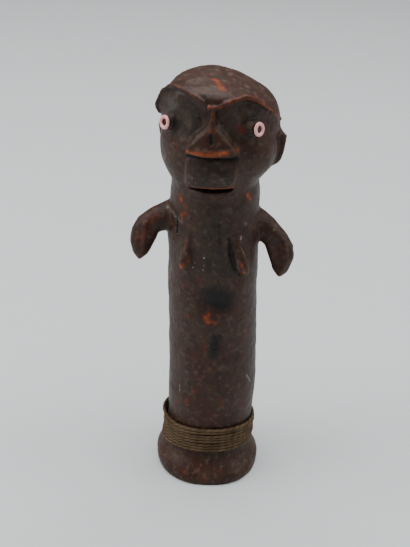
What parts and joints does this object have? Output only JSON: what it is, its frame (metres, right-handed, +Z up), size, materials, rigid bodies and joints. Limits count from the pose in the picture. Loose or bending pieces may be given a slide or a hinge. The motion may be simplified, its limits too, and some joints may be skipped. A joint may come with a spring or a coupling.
{
  "type": "female statuette",
  "caption": "Standing clay figure: round column trunk on a flared foot, stub arms with leaf-shaped hands, small breasts, double-arched brow, ring-bead eyes and a cord wound above the foot.",
  "frame": {"origin": "on the ground, under the middle of the whole figure's extent", "axes": "+Z up along the trunk, -Y the way the trunk faces, +X towards the figure's own left hand"},
  "size_m": [0.0727, 0.0529, 0.1958],
  "materials": {
    "clay": "unglazed low-fired clay with a dark rubbed patina, satin",
    "bead": "opaque pale pink, glossy",
    "fibre": "twisted plant fibre, matt, darkened"
  },
  "bodies": {
    "root": {"clay_figure": "clay", "eye_bead_right": "bead", "eye_bead_left": "bead", "fibre_binding": "fibre"}
  },
  "joints": []
}
